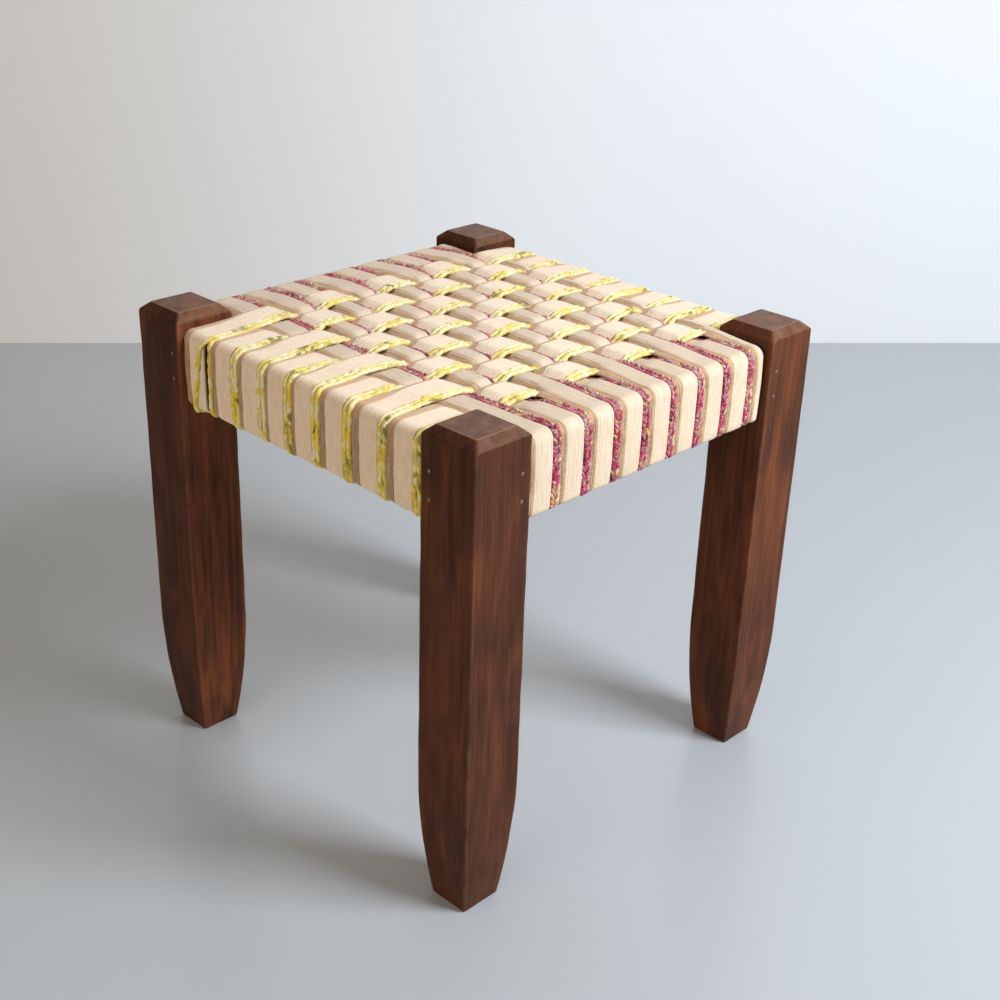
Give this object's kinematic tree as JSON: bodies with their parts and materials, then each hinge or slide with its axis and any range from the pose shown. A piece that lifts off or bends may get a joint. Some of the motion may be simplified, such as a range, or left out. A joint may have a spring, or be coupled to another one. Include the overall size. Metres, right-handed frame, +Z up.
{
  "type": "woven seat stool",
  "caption": "Low square wooden stool with tapered posts and a flat seat of cream cord bands woven with yellow and magenta strands.",
  "frame": {"origin": "on the floor, under the middle of the stool's outline", "axes": "+Z up; the front rail is on the -Y side, the right rail on the +X side; warp bands run along Y and weft bands along X"},
  "size_m": [0.422, 0.416, 0.43],
  "materials": {
    "stained_hardwood": "satin",
    "pin_wood": "matte",
    "cream_cotton_cord": "matte",
    "yellow_fabric_strand": "matte",
    "magenta_fabric_strand": "matte"
  },
  "bodies": {
    "root": {"post_front_left": "stained_hardwood", "post_front_right": "stained_hardwood", "post_back_left": "stained_hardwood", "post_back_right": "stained_hardwood", "rail_front": "stained_hardwood", "rail_back": "stained_hardwood", "rail_left": "stained_hardwood", "rail_right": "stained_hardwood", "pins_front": "pin_wood", "pins_back": "pin_wood", "pins_left": "pin_wood", "pins_right": "pin_wood", "warp_band_1": "cream_cotton_cord", "warp_band_2": "cream_cotton_cord", "warp_band_3": "cream_cotton_cord", "warp_band_4": "cream_cotton_cord", "warp_band_5": "cream_cotton_cord", "warp_band_6": "cream_cotton_cord", "warp_band_7": "cream_cotton_cord", "warp_band_8": "cream_cotton_cord", "weft_band_1": "cream_cotton_cord", "weft_band_2": "cream_cotton_cord", "weft_band_3": "cream_cotton_cord", "weft_band_4": "cream_cotton_cord", "weft_band_5": "cream_cotton_cord", "weft_band_6": "cream_cotton_cord", "weft_band_7": "cream_cotton_cord", "weft_band_8": "cream_cotton_cord", "weft_band_9": "cream_cotton_cord", "warp_strands_1": "yellow_fabric_strand", "warp_strands_2": "yellow_fabric_strand", "warp_strands_3": "yellow_fabric_strand", "warp_strands_4": "yellow_fabric_strand", "warp_strands_5": "yellow_fabric_strand", "warp_strands_6": "yellow_fabric_strand", "warp_strands_7": "yellow_fabric_strand", "warp_strands_8": "yellow_fabric_strand", "weft_strands_1": "magenta_fabric_strand", "weft_strands_2": "magenta_fabric_strand", "weft_strands_3": "magenta_fabric_strand", "weft_strands_4": "magenta_fabric_strand", "weft_strands_5": "magenta_fabric_strand", "weft_strands_6": "magenta_fabric_strand", "weft_strands_7": "magenta_fabric_strand", "weft_strands_8": "magenta_fabric_strand"}
  },
  "joints": []
}
